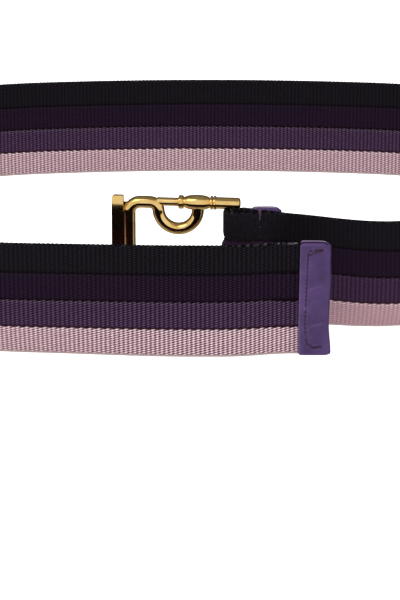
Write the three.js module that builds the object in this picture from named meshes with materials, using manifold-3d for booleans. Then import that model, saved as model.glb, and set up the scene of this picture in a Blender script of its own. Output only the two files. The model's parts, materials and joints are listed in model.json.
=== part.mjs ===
// A woman's waist belt, standing on its edge as an open loop with its good side outward.
// Four bands of ribbed webbing lie edge to edge. One end folds round the bar of a rod buckle,
// the other ends in a leather tip that stands in front of the buckle.
// Millimetres, +Z up, origin on the floor under the middle of the whole belt.
// +X runs along the tail towards its tip, and the outer side of the tail faces -Y.

import * as THREE from 'three';
import { mergeVertices } from 'three/addons/utils/BufferGeometryUtils.js';
import Module from 'manifold-3d';

const wasm = await Module();
wasm.setup();

// Sizes that touching pieces share
const SEAT_GAP = 0.3;
const UP = new THREE.Vector3(0, 0, 1);

// The webbing: bands of one width, one above the other
const BAND_PITCH = 10;
const WEBBING_THICKNESS = 1.6;
const BANDS = [
  { name: 'webbing_pink', colour: 0xcda9b3 },
  { name: 'webbing_purple', colour: 0x4b3856 },
  { name: 'webbing_aubergine', colour: 0x241629 },
  { name: 'webbing_black', colour: 0x17141a },
];
const WEBBING_WIDTH = BAND_PITCH * BANDS.length;

// The buckle: bent round rod with a bar inside the webbing's fold
const ROD_RADIUS = 2;
const BUCKLE = {
  restTurn: -6,
  reach: 36.2,
  cornerRadius: 3.9,
  leftRodTopZ: 47.1,
  topArmZ: 47.4,
  loopZ: 44.8,
  loopReach: 19.4,
  loopRadius: 6.9,
  loopShoulderRadius: 3,
};
// Flat plate along the outside of the left rod
const PLATE = { near: 37, far: 42.9, thickness: 1.6, bottomZ: 0.4, topZ: 49.1, cornerRadius: 1.2 };

// The top arm's turned outline, from its left end to its round right end beyond the bar
const TOP_ARM = [
  { reach: 27, radius: 1.5 },
  { reach: 19.7, radius: 1.5 },
  { reach: 19.4, radius: 2.3 },
  { reach: 17.9, radius: 2.3 },
  { reach: 17.6, radius: 1.9 },
  { reach: 16.4, radius: 2.4 },
  { reach: 14.6, radius: 2.65 },
  { reach: 13, radius: 2.7 },
  { reach: 11.4, radius: 2.65 },
  { reach: 9.6, radius: 2.4 },
  { reach: 8.5, radius: 1.9 },
  { reach: 8.3, radius: 2.3 },
  { reach: 7.6, radius: 2.3 },
  { reach: 7.4, radius: 1.9 },
  { reach: 7.2, radius: 2.3 },
  { reach: 6.5, radius: 2.3 },
  { reach: 6.3, radius: 2.1 },
  { reach: -1.2, radius: 2.1 },
  { reach: -1.8, radius: 1.8 },
  { reach: -2.1, radius: 1.1 },
];

// Leather at both ends, a strip folded round the webbing's cut edge
const LEATHER = { thickness: 1, colour: 0x5a487a };
const TIP_LENGTH = 11.2;
const TIP_OVERLAP = 9.3;
const CAP_LENGTH = 10.2;
const CAP_START = 6.2;

// The fold: the webbing comes round the bar and lies back against itself
const FOLD_HEADING = 2.5;
const NECK_ANGLE = 40;
const NECK_RADIUS = 3.5;
const FLAP_LENGTH = 8.5;
const WRAP_RADIUS = ROD_RADIUS + SEAT_GAP + WEBBING_THICKNESS / 2;
const LAYER_SPACING = WEBBING_THICKNESS + LEATHER.thickness + 2 * SEAT_GAP;
const FLAP_OFFSET = LAYER_SPACING - WRAP_RADIUS;
const NECK_TURN = THREE.MathUtils.degToRad(NECK_ANGLE);
const NECK_RUN = (WRAP_RADIUS * Math.cos(NECK_TURN) - FLAP_OFFSET
  - NECK_RADIUS * (1 - Math.cos(NECK_TURN))) / Math.sin(NECK_TURN);

// The buckle's lower arm lies on the floor, so the webbing is raised there and comes down beyond
const LIFT = { height: 4.9, levelFor: 8, downAt: 58 };

// The webbing's route seen from above, from the folded end to the tip: length, turn to the left
const ROUTE = [
  { name: 'flap', length: FLAP_LENGTH, turn: 0, steps: 1 },
  { name: 'neck_bend', length: NECK_RADIUS * NECK_TURN, turn: -NECK_ANGLE, steps: 3 },
  { name: 'neck_run', length: NECK_RUN, turn: 0, steps: 1 },
  { name: 'wrap', length: WRAP_RADIUS * (Math.PI + NECK_TURN), turn: 180 + NECK_ANGLE, steps: 12 },
  { name: 'back_start', length: 18, turn: 0, steps: 5 },
  { name: 'back_run', length: 44, turn: 6.5, steps: 11 },
  { name: 'near_right', length: 84, turn: 38, steps: 8 },
  { name: 'right_side', length: 139.6, turn: 87, steps: 16 },
  { name: 'far_right', length: 84, turn: 38, steps: 8 },
  { name: 'far_run', length: 139.7, turn: 16, steps: 6 },
  { name: 'far_left', length: 84, turn: 38, steps: 8 },
  { name: 'left_side', length: 164.4, turn: 87, steps: 18 },
  { name: 'near_left', length: 84, turn: 38, steps: 8 },
  { name: 'front_run', length: 70, turn: 9, steps: 5 },
  { name: 'front_flat', length: 5, turn: 0, steps: 1 },
  { name: 'tail_out', length: 16, turn: 14, steps: 4 },
  { name: 'tail_back', length: 12.7, turn: -14, steps: 4 },
  { name: 'tail_end', length: 9.1, turn: 0, steps: 1 },
];

// Walks a table of straight runs and arcs in a plane, one station for each step
function walk(rows, start, headingDegrees) {
  let { u, v } = start;
  let heading = THREE.MathUtils.degToRad(headingDegrees);
  let distance = 0;
  const stations = [{ u, v, heading, distance, row: rows[0].name }];
  for (const row of rows) {
    const turn = THREE.MathUtils.degToRad(row.turn) / row.steps;
    const arc = row.length / row.steps;
    const chord = turn === 0 ? arc : (2 * arc / turn) * Math.sin(turn / 2);
    for (let step = 0; step < row.steps; step += 1) {
      u += chord * Math.cos(heading + turn / 2);
      v += chord * Math.sin(heading + turn / 2);
      heading += turn;
      distance += arc;
      stations.push({ u, v, heading, distance, row: row.name });
    }
  }
  return stations;
}

// A sweep path through ready stations, so that a section keeps its own upright
class StationPath extends THREE.Curve {
  constructor(points, tangents, normals) {
    super();
    this.points = points;
    this.tangents = tangents;
    this.normals = normals;
  }

  getPoint(t, target = new THREE.Vector3()) {
    const place = t * (this.points.length - 1);
    const index = Math.min(Math.floor(place), this.points.length - 2);
    return target.lerpVectors(this.points[index], this.points[index + 1], place - index);
  }

  getSpacedPoints() {
    return this.points.map((point) => point.clone());
  }

  computeFrenetFrames() {
    const binormals = this.tangents.map((tangent, i) => (
      new THREE.Vector3().crossVectors(tangent, this.normals[i])));
    return { tangents: this.tangents, normals: this.normals, binormals };
  }
}

// A section swept along a station path
function sweep(section, path, curveSegments = 8) {
  const steps = path.points.length - 1;
  return new THREE.ExtrudeGeometry(section, { steps, extrudePath: path, curveSegments });
}

function rectangle(low, high) {
  const shape = new THREE.Shape();
  shape.moveTo(low.x, low.y);
  shape.lineTo(high.x, low.y);
  shape.lineTo(high.x, high.y);
  shape.lineTo(low.x, high.y);
  shape.closePath();
  return shape;
}

function disc(radius) {
  return new THREE.Shape().absarc(0, 0, radius, 0, 2 * Math.PI, false);
}

function finish(colour, roughness, metalness) {
  return new THREE.MeshStandardMaterial({ color: colour, roughness, metalness });
}

function namedMesh(name, geometry, material) {
  const mesh = new THREE.Mesh(geometry, material);
  mesh.name = name;
  return mesh;
}

// Height of the webbing's lower edge above the floor, by the distance from the fold
function liftAt(distance) {
  const share = (distance - LIFT.levelFor) / (LIFT.downAt - LIFT.levelFor);
  const eased = THREE.MathUtils.clamp(share, 0, 1);
  return LIFT.height * (1 + Math.cos(Math.PI * eased)) / 2;
}

const stations = walk(ROUTE, { u: 0, v: 0 }, 180 + FOLD_HEADING);
const foldStation = stations.filter((station) => station.row === 'wrap').at(-1);
const barCentre = new THREE.Vector3(
  foldStation.u - WRAP_RADIUS * Math.sin(foldStation.heading),
  foldStation.v + WRAP_RADIUS * Math.cos(foldStation.heading),
  0,
);

function webbingPath() {
  const points = stations.map((station) => (
    new THREE.Vector3(station.u, station.v, liftAt(station.distance - foldStation.distance))));
  const tangents = stations.map(({ heading }) => (
    new THREE.Vector3(Math.cos(heading), Math.sin(heading), 0)));
  const normals = tangents.map((tangent) => new THREE.Vector3().crossVectors(UP, tangent));
  return new StationPath(points, tangents, normals);
}

// One band of the webbing, the whole way round
function band(index, path) {
  const half = WEBBING_THICKNESS / 2;
  const lower = index === 0 ? 0 : BAND_PITCH * index + SEAT_GAP / 2;
  const upper = BAND_PITCH * (index + 1) - (index === BANDS.length - 1 ? 0 : SEAT_GAP / 2);
  const section = rectangle({ x: -half, y: lower }, { x: half, y: upper });
  return namedMesh(BANDS[index].name, sweep(section, path), finish(BANDS[index].colour, 0.9, 0));
}

// Leather folded round a cut end: a U seen from above, open along both long edges.
// It runs along +X, with its mouth at x = 0 and its rounded fold at x = length.
function foldedLeather(length) {
  const inner = WEBBING_THICKNESS / 2 + SEAT_GAP;
  const outer = inner + LEATHER.thickness;
  const pocket = length - LEATHER.thickness;
  const shape = new THREE.Shape();
  shape.moveTo(0, -outer);
  shape.lineTo(length - outer, -outer);
  shape.absarc(length - outer, 0, outer, -Math.PI / 2, Math.PI / 2, false);
  shape.lineTo(0, outer);
  shape.lineTo(0, inner);
  shape.lineTo(pocket - inner, inner);
  shape.absarc(pocket - inner, 0, inner, Math.PI / 2, -Math.PI / 2, true);
  shape.lineTo(0, -inner);
  shape.closePath();
  return new THREE.ExtrudeGeometry(shape, {
    depth: WEBBING_WIDTH, bevelEnabled: false, curveSegments: 8,
  });
}

function tipLeather() {
  const end = stations.at(-1);
  const tip = namedMesh('tip_leather', foldedLeather(TIP_LENGTH), finish(LEATHER.colour, 0.5, 0));
  tip.position.set(
    end.u - TIP_OVERLAP * Math.cos(end.heading),
    end.v - TIP_OVERLAP * Math.sin(end.heading),
    0,
  );
  tip.rotation.z = end.heading;
  return tip;
}

// The cap on the folded-back end, which faces away from the bar
function foldLeather() {
  const cap = namedMesh('fold_leather', foldedLeather(CAP_LENGTH), finish(LEATHER.colour, 0.5, 0));
  const place = new THREE.Group();
  place.position.set(barCentre.x, barCentre.y, LIFT.height);
  place.rotation.z = THREE.MathUtils.degToRad(FOLD_HEADING);
  cap.position.set(CAP_START, FLAP_OFFSET, 0);
  place.add(cap);
  return place;
}

// A closed geometry as a solid for joining
function toSolid(geometry) {
  const bare = geometry.clone();
  bare.deleteAttribute('normal');
  bare.deleteAttribute('uv');
  const merged = mergeVertices(bare, 1e-4);
  return new wasm.Manifold(new wasm.Mesh({
    numProp: 3,
    vertProperties: Float32Array.from(merged.attributes.position.array),
    triVerts: Uint32Array.from(merged.index.array),
  }));
}

function toGeometry(solid) {
  const { vertProperties, triVerts } = solid.getMesh();
  const geometry = new THREE.BufferGeometry();
  geometry.setAttribute('position', new THREE.BufferAttribute(vertProperties, 3));
  geometry.setIndex(new THREE.BufferAttribute(triVerts, 1));
  return geometry;
}

// The bent rod: lower arm, left rod, short upper run and the loop that hangs from the top arm.
// It is drawn upright, with the bar's axis at x = 0 and the frame reaching towards -X.
function bentRod() {
  const { reach, cornerRadius, leftRodTopZ, loopZ, loopReach, loopRadius } = BUCKLE;
  const shoulder = BUCKLE.loopShoulderRadius;
  const shoulderZ = leftRodTopZ - shoulder;
  const centres = shoulder + loopRadius;
  const meeting = Math.asin((loopZ - shoulderZ) / centres);
  const shoulderReach = loopReach + centres * Math.cos(meeting);
  const shoulderTurn = Math.PI / 2 - meeting;
  const loopTurn = Math.PI / 2 + shoulderTurn;
  const { radToDeg } = THREE.MathUtils;
  const rows = [
    { name: 'lower_arm', length: reach - cornerRadius + ROD_RADIUS, turn: 0, steps: 1 },
    { name: 'lower_corner', length: cornerRadius * Math.PI / 2, turn: -90, steps: 6 },
    { name: 'left_rod', length: leftRodTopZ - ROD_RADIUS - 2 * cornerRadius, turn: 0, steps: 1 },
    { name: 'upper_corner', length: cornerRadius * Math.PI / 2, turn: -90, steps: 6 },
    { name: 'upper_run', length: reach - cornerRadius - shoulderReach, turn: 0, steps: 1 },
    { name: 'shoulder', length: shoulder * shoulderTurn, turn: -radToDeg(shoulderTurn), steps: 5 },
    { name: 'loop', length: loopRadius * loopTurn, turn: radToDeg(loopTurn), steps: 14 },
    { name: 'loop_end', length: BUCKLE.topArmZ - loopZ, turn: 0, steps: 1 },
  ];
  const places = walk(rows, { u: ROD_RADIUS, v: ROD_RADIUS }, 180);
  const points = places.map(({ u, v }) => new THREE.Vector3(u, 0, v));
  const tangents = places.map(({ heading }) => (
    new THREE.Vector3(Math.cos(heading), 0, Math.sin(heading))));
  const normals = places.map(({ heading }) => (
    new THREE.Vector3(-Math.sin(heading), 0, Math.cos(heading))));
  return sweep(disc(ROD_RADIUS), new StationPath(points, tangents, normals));
}

function bar() {
  const length = BUCKLE.topArmZ - ROD_RADIUS;
  const geometry = new THREE.CylinderGeometry(ROD_RADIUS, ROD_RADIUS, length, 16);
  geometry.rotateX(Math.PI / 2);
  geometry.translate(0, 0, ROD_RADIUS + length / 2);
  return geometry;
}

// The turned top arm, a lathe form laid along X
function topArm() {
  const outline = TOP_ARM.map(({ reach, radius }) => new THREE.Vector2(radius, -reach));
  const profile = [new THREE.Vector2(0, -TOP_ARM[0].reach), ...outline,
    new THREE.Vector2(0, -TOP_ARM.at(-1).reach)];
  const geometry = new THREE.LatheGeometry(profile, 16);
  geometry.rotateZ(-Math.PI / 2);
  geometry.translate(0, 0, BUCKLE.topArmZ);
  return geometry;
}

function plate() {
  const shape = new THREE.Shape();
  const { near, far, bottomZ, topZ, cornerRadius: r, thickness } = PLATE;
  shape.moveTo(-near, bottomZ);
  shape.lineTo(-near, topZ);
  shape.lineTo(-far + r, topZ);
  shape.absarc(-far + r, topZ - r, r, Math.PI / 2, Math.PI, false);
  shape.lineTo(-far, bottomZ + r);
  shape.absarc(-far + r, bottomZ + r, r, Math.PI, 1.5 * Math.PI, false);
  shape.closePath();
  const geometry = new THREE.ExtrudeGeometry(shape, {
    depth: thickness, bevelEnabled: false, curveSegments: 6,
  });
  geometry.rotateX(Math.PI / 2);
  geometry.translate(0, thickness / 2, 0);
  return geometry;
}

// The soldered buckle, swung a little inward on its bar
function buckleFrame() {
  const solid = [bar(), topArm(), plate()]
    .map(toSolid)
    .reduce((whole, piece) => whole.add(piece), toSolid(bentRod()));
  const frame = namedMesh('buckle_frame', toGeometry(solid), finish(0xe0b45a, 0.15, 1));
  frame.position.copy(barCentre);
  frame.rotation.z = THREE.MathUtils.degToRad(BUCKLE.restTurn);
  return frame;
}

function belt() {
  const whole = new THREE.Group();
  const path = webbingPath();
  BANDS.forEach((row, index) => whole.add(band(index, path)));
  whole.add(tipLeather(), foldLeather(), buckleFrame());
  const box = new THREE.Box3().setFromObject(whole, true);
  const middle = box.getCenter(new THREE.Vector3());
  whole.position.set(-middle.x, -middle.y, -box.min.z);
  return whole;
}

export default belt();
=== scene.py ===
"""Looks of a waist belt of four-coloured ribbed webbing, with leather ends and a gold rod buckle.

Sizes are in millimetres, and they become metres where a mesh is made. The belt stands on its edge
as an open loop. Its route and its places repeat those of the CAD model that this script dresses.
"""

import json
import logging
import math
import random
from collections.abc import Callable, Iterator, Sequence
from contextlib import contextmanager
from dataclasses import dataclass, field
from enum import Enum

import bpy
import numpy as np
from mathutils import Matrix, Vector


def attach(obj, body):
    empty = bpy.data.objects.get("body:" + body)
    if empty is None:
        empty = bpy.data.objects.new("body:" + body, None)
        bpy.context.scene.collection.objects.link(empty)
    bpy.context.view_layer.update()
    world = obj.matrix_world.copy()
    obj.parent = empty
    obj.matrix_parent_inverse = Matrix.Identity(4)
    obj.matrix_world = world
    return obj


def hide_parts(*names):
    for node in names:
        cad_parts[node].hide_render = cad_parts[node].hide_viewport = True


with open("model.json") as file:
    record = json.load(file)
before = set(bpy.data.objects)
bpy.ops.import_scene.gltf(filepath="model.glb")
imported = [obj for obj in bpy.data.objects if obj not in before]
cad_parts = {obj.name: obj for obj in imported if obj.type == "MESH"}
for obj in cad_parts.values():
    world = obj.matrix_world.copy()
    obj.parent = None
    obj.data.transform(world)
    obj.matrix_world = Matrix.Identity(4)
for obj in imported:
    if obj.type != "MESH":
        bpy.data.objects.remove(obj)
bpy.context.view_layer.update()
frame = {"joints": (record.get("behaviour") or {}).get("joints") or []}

log = logging.getLogger("belt")

MM = 0.001
# Corners nearer than this, in millimetres, are one corner or lie on the same plane
NEAR = 0.001
SEED = 11

Colour = tuple[float, float, float, float]
Material = bpy.types.Material
Piece = bpy.types.Object
Socket = bpy.types.NodeSocket
Pair = tuple[float, float]
Path = tuple[Pair, ...]


def linear(red: int, green: int, blue: int) -> Colour:
    """The linear colour that a shader takes for a screen's colour of 0 to 255."""
    parts = [c / 255 for c in (red, green, blue)]
    return (*(c / 12.92 if c <= 0.04045 else ((c + 0.055) / 1.055) ** 2.4 for c in parts), 1.0)


def share_of(value: float, start: float, end: float) -> float:
    """How far a value is on the way from the start to the end, from 0 to 1."""
    return min(max((value - start) / (end - start), 0.0), 1.0)


def ramp(value: float, start: float, end: float) -> float:
    """Eases from 0 at the start to 1 at the end, level at both."""
    share = share_of(value, start, end)
    return share * share * (3 - 2 * share)


# Working with Blender's operators


def pick_only(*pieces: Piece) -> None:
    """Selects some objects and nothing else.

    Args:
        *pieces: The objects, the first of which becomes the active one.
    """
    bpy.ops.object.select_all(action="DESELECT")
    for piece in pieces:
        piece.select_set(True)
    bpy.context.view_layer.objects.active = pieces[0]


def link(piece: Piece) -> None:
    """Puts a new object in the scene."""
    bpy.context.scene.collection.objects.link(piece)


def added(operator: Callable[..., object], scale: Sequence[float] = (1, 1, 1),
          **settings: object) -> Piece:
    """Adds one of Blender's plain meshes, with its place, turn and scale made part of the mesh.

    Args:
        operator: The operator that adds it.
        scale: How much larger it becomes each way.
        **settings: The operator's own settings.

    Returns:
        The new object.
    """
    bpy.ops.object.select_all(action="DESELECT")
    operator(**settings)
    piece = bpy.context.object
    piece.scale = scale
    bpy.ops.object.transform_apply(location=True, rotation=True, scale=True)
    return piece


@contextmanager
def editing(piece: Piece) -> Iterator[None]:
    """Holds one piece in edit mode, with all of it selected at the start.

    Args:
        piece: The object to edit.
    """
    pick_only(piece)
    bpy.ops.object.mode_set(mode="EDIT")
    bpy.ops.mesh.select_all(action="SELECT")
    try:
        yield
    finally:
        bpy.ops.object.mode_set(mode="OBJECT")


def select_edges(piece: Piece, chosen: Callable[[Vector, Vector], bool]) -> None:
    """Selects, from inside edit mode, the edges whose two ends pass a test.

    Args:
        piece: The object in edit mode.
        chosen: Says for an edge's two ends, in metres, whether it is wanted.
    """
    bpy.ops.mesh.select_all(action="DESELECT")
    bpy.ops.mesh.select_mode(type="EDGE")
    bpy.ops.object.mode_set(mode="OBJECT")
    corners = piece.data.vertices
    for edge in piece.data.edges:
        edge.select = chosen(*(corners[i].co for i in edge.vertices))
    bpy.ops.object.mode_set(mode="EDIT")


def apply_modifier(piece: Piece, kind: str, **settings: object) -> None:
    """Adds a modifier and applies it at once.

    Args:
        piece: The object that it shapes.
        kind: Blender's name of the modifier's type.
        **settings: Values of the modifier's own settings.
    """
    pick_only(piece)
    modifier = piece.modifiers.new(kind.lower(), kind)
    for name, value in settings.items():
        setattr(modifier, name, value)
    bpy.ops.object.modifier_apply(modifier=modifier.name)


def soften(piece: Piece, width: float, segments: int, degrees: float) -> None:
    """Rounds the edges at which a piece's faces turn by more than this angle."""
    apply_modifier(piece, "BEVEL", width=width * MM, segments=segments, limit_method="ANGLE",
                   angle_limit=math.radians(degrees))


def face_outwards(piece: Piece) -> None:
    """Merges doubled corners and turns every face of a closed mesh outwards."""
    with editing(piece):
        bpy.ops.mesh.remove_doubles(threshold=NEAR * MM)
        bpy.ops.mesh.normals_make_consistent(inside=False)


def smooth_by_angle(piece: Piece, degrees: float) -> None:
    """Shades a piece smooth where its faces meet under this angle."""
    pick_only(piece)
    bpy.ops.object.shade_smooth_by_angle(angle=math.radians(degrees))


def settle(piece: Piece, place: Matrix) -> None:
    """Puts a finished mesh in its place, with its object left at the origin."""
    piece.data.transform(place)
    piece.matrix_world = Matrix.Identity(4)


def place_matrix(at: Vector, degrees: float) -> Matrix:
    """The matrix that turns a piece about the upright axis and moves it to a place in millimetres."""
    return Matrix.Translation(at * MM) @ Matrix.Rotation(math.radians(degrees), 4, "Z")


def dress(piece: Piece, finish: Material, slot: str, body: str, *nodes: str) -> None:
    """Gives a piece its finish, its body and the CAD nodes that it stands for.

    Args:
        piece: The finished object.
        finish: Its material, or the first of several.
        slot: The record's material slot; not used.
        body: The CAD body that it rides on.
        *nodes: CAD nodes that it stands for.
    """
    piece.data.materials.append(finish)
    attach(piece, body)
    if nodes:
        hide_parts(*nodes)
    log.info("%s: %d faces on %s", piece.name, len(piece.data.polygons), body)


# Finishes


class Field:
    """A number that a shader works out at each place, with the usual arithmetic."""

    def __init__(self, tree: "Nodes", socket: Socket) -> None:
        """Holds the socket that gives the number, and its tree."""
        self.tree = tree
        self.socket = socket

    def op(self, operation: str, *others: "Field | float") -> "Field":
        """Works out one of Blender's math operations.

        Args:
            operation: Blender's name of it.
            *others: Its inputs after this number.

        Returns:
            The result.
        """
        node = self.tree.add("ShaderNodeMath", operation=operation)
        for socket, value in zip(node.inputs, (self, *others)):
            self.tree.feed(socket, value)
        return Field(self.tree, node.outputs[0])

    def __add__(self, other: "Field | float") -> "Field":
        """This number and another."""
        return self.op("ADD", other)

    def __sub__(self, other: "Field | float") -> "Field":
        """This number less another."""
        return self.op("SUBTRACT", other)

    def __rsub__(self, other: float) -> "Field":
        """A plain number less this one."""
        return self * -1.0 + other

    def __mul__(self, other: "Field | float") -> "Field":
        """This number times another."""
        return self.op("MULTIPLY", other)

    def eased(self, low: float, high: float) -> "Field":
        """Eases from 0 to 1, level at both.

        Args:
            low: What this number is where the result is 0.
            high: What it is where the result is 1.

        Returns:
            The result.
        """
        node = self.tree.add("ShaderNodeMapRange", interpolation_type="SMOOTHSTEP")
        for name, source in (("Value", self), ("From Min", low), ("From Max", high)):
            self.tree.feed(node.inputs[name], source)
        return Field(self.tree, node.outputs["Result"])

    def blend(self, first: "Field | float", second: "Field | float") -> "Field":
        """Goes straight from the first number, where this one is 0, to the second, where it is 1."""
        return self.op("MULTIPLY_ADD", second - first, first)


class Nodes:
    """The node tree of a material or of the sky, with short calls for what they share."""

    def __init__(self, owner: Material | bpy.types.World) -> None:
        """Starts a tree that holds only its owner's usual shader and output.

        Args:
            owner: The material or sky that it belongs to.
        """
        owner.use_nodes = True
        self.owner = owner
        self.tree = owner.node_tree
        kinds = {"BSDF_PRINCIPLED", "BACKGROUND"}
        self.shader = next(node for node in self.tree.nodes if node.type in kinds)

    def add(self, kind: str, **settings: object) -> bpy.types.Node:
        """Adds a node.

        Args:
            kind: Blender's name of its type.
            **settings: Values of its own settings.

        Returns:
            The node.
        """
        node = self.tree.nodes.new(kind)
        for name, value in settings.items():
            setattr(node, name, value)
        return node

    def feed(self, socket: Socket, value: Field | Socket | float | Sequence[float]) -> None:
        """Gives an input of a node what it needs.

        Args:
            socket: The input.
            value: What it is linked to, or the value that it is set to.
        """
        if isinstance(value, Field):
            value = value.socket
        if isinstance(value, Socket):
            self.tree.links.new(value, socket)
        else:
            socket.default_value = value

    def shade(self, inputs: dict[str, Field | Socket | float | Colour]) -> Material | bpy.types.World:
        """Feeds the shader.

        Args:
            inputs: What each of its inputs takes, by the input's name.

        Returns:
            The shader's material or sky.
        """
        for name, value in inputs.items():
            self.feed(self.shader.inputs[name], value)
        return self.owner

    def split(self, places: Socket) -> list[Field]:
        """Takes places apart into their three numbers.

        Args:
            places: The places.

        Returns:
            Their three numbers.
        """
        node = self.add("ShaderNodeSeparateXYZ")
        self.feed(node.inputs[0], places)
        return [Field(self, socket) for socket in node.outputs]

    def mix(self, share: Field, low: Socket | Colour, high: Socket | Colour) -> Socket:
        """Mixes two colours. They are inputs 6 and 7 of Blender's node, whose inputs share their names.

        Args:
            share: 0 where only the first colour shows, and 1 where only the second does.
            low: The first colour.
            high: The second colour.

        Returns:
            The mixed colour.
        """
        node = self.add("ShaderNodeMix", data_type="RGBA")
        for index, value in ((0, share), (6, low), (7, high)):
            self.feed(node.inputs[index], value)
        return node.outputs[2]

    def noise(self, places: Socket, scale: float, detail: float, stretch: Pair | None = None) -> Field:
        """A soft random field of 0 to 1.

        Args:
            places: Where it is worked out.
            scale: How many of its waves fit in a length of 1.
            detail: How many finer layers it has.
            stretch: What the first two numbers of the places are multiplied by.

        Returns:
            The field.
        """
        if stretch:
            mapping = self.add("ShaderNodeMapping", vector_type="POINT")
            self.feed(mapping.inputs["Vector"], places)
            self.feed(mapping.inputs["Scale"], (*stretch, 1.0))
            places = mapping.outputs[0]
        node = self.add("ShaderNodeTexNoise")
        for name, value in (("Vector", places), ("Scale", scale), ("Detail", detail)):
            self.feed(node.inputs[name], value)
        return Field(self, node.outputs["Fac"])

    def object_places(self) -> Socket:
        """The piece's own places, in metres."""
        return self.add("ShaderNodeTexCoord").outputs["Object"]

    def bump(self, height: Field | Socket, depth: float, under: Socket | None = None) -> Socket:
        """A relief of the surface.

        Args:
            height: The relief's height, from 0 to 1.
            depth: What a height of 1 is, in millimetres.
            under: The normal of a relief below this one.

        Returns:
            The normal that the shader takes.
        """
        node = self.add("ShaderNodeBump")
        self.feed(node.inputs["Distance"], depth * MM)
        self.feed(node.inputs["Height"], height)
        if under:
            self.feed(node.inputs["Normal"], under)
        return node.outputs["Normal"]


@dataclass(frozen=True)
class Weave:
    """Yarn of one colour in the ribbed webbing: pale floats on the ribs, dark dashes between them.

    The weave's light and shade are painted into its colour: painted highlights on the floats' round tops
    and on the top row's caps, and painted shade on the yarn between the floats, in the dashes and grooves
    and along each band's lower edge.

    Each pair says where something is 0 and where it is full, or what it is at its least and its most.
    Places along the webbing are in millimetres from its folded-back end. Places up a band are shares of
    its height, and those in a float or a dash are shares of a cell's half width or half height.
    """

    name: str
    # The lit float colour and the shaded yarn colour are lit and shaded copies of one yarn: a painted
    # highlight on the floats' tops over painted shade.
    lit_float_colour: Colour
    shaded_yarn_colour: Colour
    # Painted shade in the dashes between the floats, in the grooves and on the black's top edge.
    gap_shade_colour: Colour
    # Painted shade along each band's lower edge.
    low_edge_shade_colour: Colour
    # Painted light on the top row's caps, which face the light from above: paler on the lighter bands, and
    # a little darker on the black.
    top_row_light_colour: Colour
    # Painted light near the fold round the bar.
    fold_light_colour: Colour | None = None
    # Pale specks painted on the black's top edge as glints.
    glint_speck_colour: Colour | None = None
    # The pink's plain selvedge, greyed as painted shade where its edge turns under.
    shaded_selvedge_colour: Colour | None = None
    # How far the grooves are darkened towards the gap colour, as painted shade.
    groove_shade: float = 0.6
    specular: float = 0.05
    # How strongly the top row's caps are painted light near the buckle; the cap light further down is their
    # strength elsewhere.
    first_cap_light: float = 0.15
    calm: float = 0.74
    crisp: float = 1.08
    cap_light: float = 0.7
    relief: float = 0.24
    dash_depth: float = 0.7
    slants: Pair = (0.45, 0.75)
    slant_change: Pair = (0.9, 0.1)
    float_slant: float = 0.4
    float_size: Pair = (0.95, 0.8)
    dash_sides: Pair = (0.95, 0.45)
    dash_ends: Pair = (0.42, 0.82)
    # Painted shade across a groove: full in its middle, and none by the crest.
    groove_shaded: Pair = (1.0, 0.1)
    tone: Pair = (0.3, 1.4)
    # How strongly the painted highlights and painted shade show: weaker near the buckle and strongest near
    # the tip.
    contrast: Pair = (0.22, 1.0)
    settling: Pair = (130.0, 330.0)
    settled_relief: Pair = (0.5, 1.0)
    crisping: Pair = (860.0, 945.0)
    low_step: Pair = (0.13, 0.02)
    high_step: Pair = (0.86, 0.95)
    top_step: Pair = (0.94, 0.97)
    # Where the painted light near the fold begins and ends, and how strong it is.
    fold_begins: Pair = (12.0, 18.0)
    fold_ends: Pair = (46.0, 32.0)
    fold_light_strength: Pair = (-0.1, 0.9)
    # Where the painted glints on the black's top edge are strongest: towards the tail and near the fold.
    glints_at_tail: Pair = (946.0, 964.0)
    glints_at_fold: Pair = (28.0, 20.0)
    highlight_and_paling: Pair = (0.18, 1.0)
    fold_glints: float = 0.4
    speckled: Pair = (0.45, 0.62)
    speck_size: Pair = (0.8, 0.5)
    selvedge: Pair = (1.05, 0.75)
    clouds: float = 0.9
    specks: float = 1.3
    fibres: Pair = (2.0, 16.0)
    fibre_relief: float = 0.03
    roughness: float = 0.75

    def make(self, rib: float, row: float, base: float, pitch: float) -> Material:
        """Makes the material, on the piece's own map of millimetres along and up the webbing.

        Args:
            rib: The distance from one rib to the next.
            row: The distance from one float of a rib to the next one up.
            base: The height of the band's lower edge.
            pitch: The band's height.

        Returns:
            The material.
        """
        n = Nodes(bpy.data.materials.new(self.name))
        chart = n.add("ShaderNodeUVMap", uv_map="weave").outputs["UV"]
        along, up, _ = n.split(chart)
        in_band = (up - base) * (1 / pitch)
        patches = n.noise(chart, self.clouds, 3.0, (1 / rib, 1 / row))
        # How strongly the painted highlights and painted shade show: weaker, with less relief, near the
        # buckle, and strongest near the tip.
        settled = along.eased(*self.settling)
        crisp = along.eased(*self.crisping).blend(self.calm, self.crisp)
        contrast = settled.blend(*self.contrast) * crisp
        slant = in_band.eased(*self.slant_change).blend(*self.slants)
        from_groove, from_float = self._lattice(along, up, rib, row, slant, 0.0)
        dash = from_groove.eased(*self.dash_sides) * from_float.eased(*self.dash_ends)
        dome = self._dome(*self._lattice(along, up, rib, row, self.float_slant, 0.5))
        groove_shaded = from_groove.eased(*self.groove_shaded) * self.groove_shade
        # Painted light on the top row's caps.
        top_row_lit = in_band.eased(*self.high_step) * dome * settled.blend(self.first_cap_light, self.cap_light)
        # Painted shade: the grooves darkened towards the gap colour.
        colour = n.mix(groove_shaded, self.shaded_yarn_colour, self.gap_shade_colour)
        # Painted highlight: the floats' round tops in the lit colour over the shaded yarn.
        colour = n.mix(dome * patches.blend(*self.tone) * contrast, colour, self.lit_float_colour)
        # Painted shade: the dark dashes between the floats.
        colour = n.mix(dash * contrast, colour, self.gap_shade_colour)
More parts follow.
